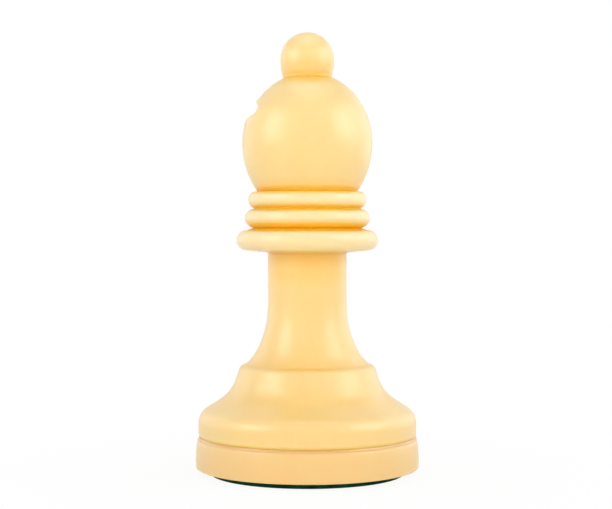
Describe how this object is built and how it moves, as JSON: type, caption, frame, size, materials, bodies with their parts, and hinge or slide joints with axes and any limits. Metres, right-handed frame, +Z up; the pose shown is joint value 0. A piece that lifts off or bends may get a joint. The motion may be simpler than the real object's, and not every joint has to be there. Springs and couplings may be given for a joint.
{
  "type": "chess bishop",
  "caption": "Weighted plastic chess bishop: egg-shaped mitre head with a ball finial and a side notch, stacked collars, flared stem and a bell foot on a felted plinth.",
  "frame": {"origin": "middle of the felt pad's underside, on the board", "axes": "+Z up along the turning axis, -X towards the notch in the mitre"},
  "size_m": [0.035, 0.035, 0.0692],
  "materials": {
    "cream_plastic_head": "satin gloss, as moulded and lightly polished",
    "cream_plastic_body": "satin gloss, as moulded and lightly polished",
    "cream_plastic_plinth": "satin gloss, as moulded and lightly polished",
    "plug_plastic": "as moulded, hidden behind the felt",
    "weight_steel": "blanked and tumbled, hidden inside",
    "adhesive_film": "clear amber double-sided film, hidden behind the felt",
    "green_felt": "pressed felt"
  },
  "bodies": {
    "root": {"mitre_head": "cream_plastic_head", "collared_body": "cream_plastic_body", "plinth": "cream_plastic_plinth", "well_plug": "plug_plastic", "weight_disc_1": "weight_steel", "weight_disc_2": "weight_steel", "weight_disc_3": "weight_steel", "felt_adhesive": "adhesive_film", "felt_pad": "green_felt"}
  },
  "joints": []
}
